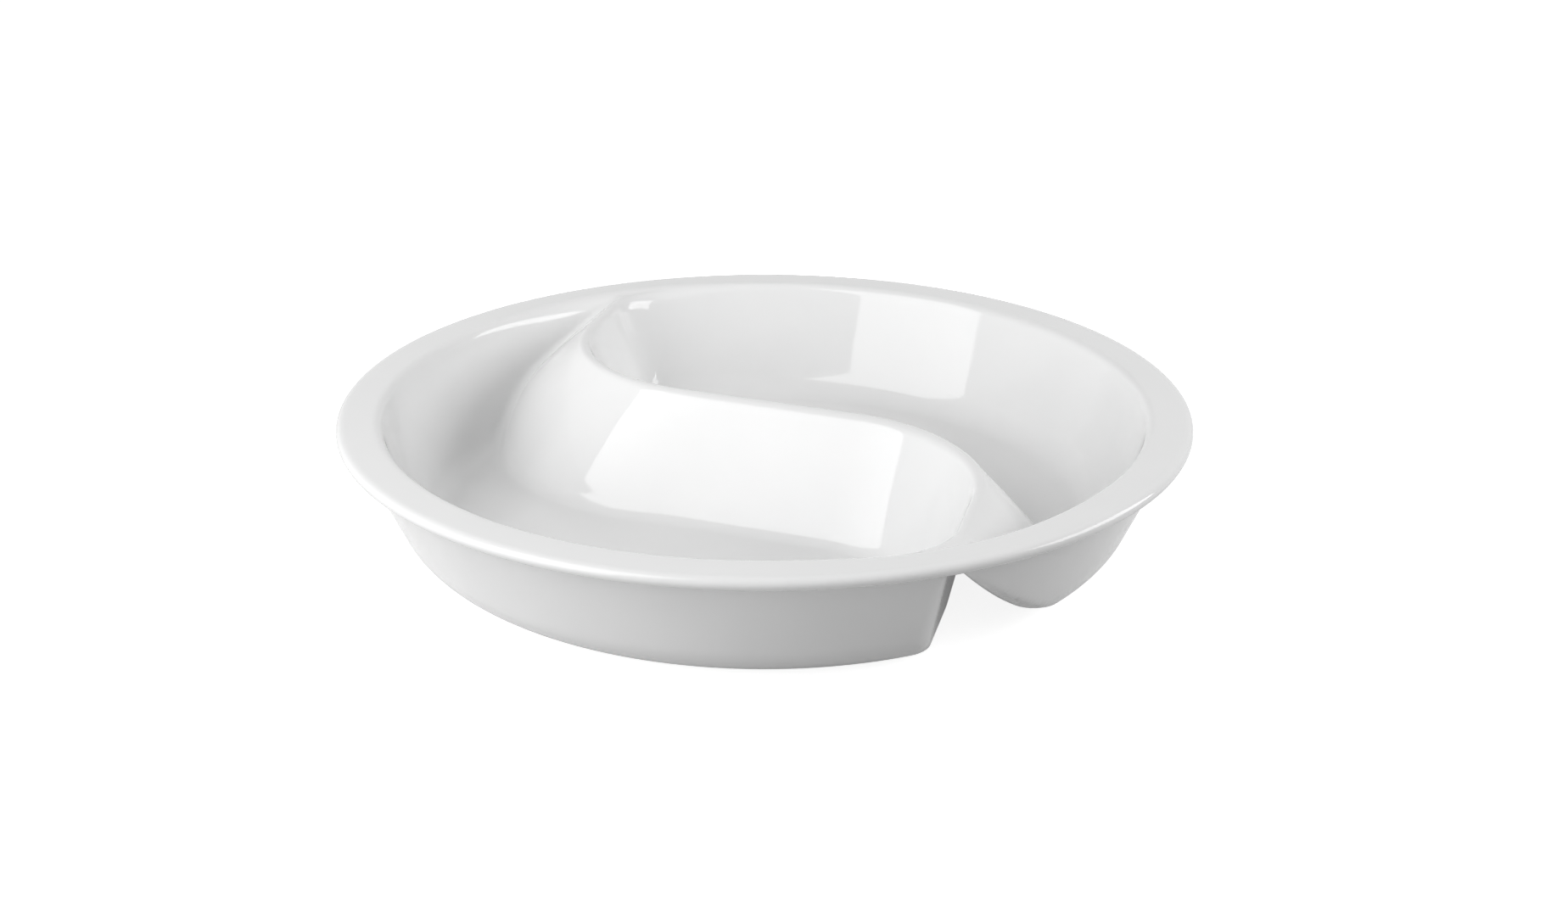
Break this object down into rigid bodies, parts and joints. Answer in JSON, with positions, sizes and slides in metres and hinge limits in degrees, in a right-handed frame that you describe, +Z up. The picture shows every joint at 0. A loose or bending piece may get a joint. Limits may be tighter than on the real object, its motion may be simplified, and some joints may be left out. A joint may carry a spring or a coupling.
{
  "type": "divided food pan",
  "caption": "Round glazed porcelain food pan with a flat rim flange and a hollow S-shaped divider, an insert for a buffet chafing dish.",
  "frame": {"origin": "centre of the standing base, straight below the centre of the rim", "axes": "+Z up out of the compartments, -Y towards the picture's viewer, +X to the viewer's right"},
  "size_m": [0.4, 0.4, 0.063],
  "materials": {
    "glazed_porcelain": "white gloss glaze"
  },
  "bodies": {
    "root": {"porcelain_pan": "glazed_porcelain"}
  },
  "joints": []
}
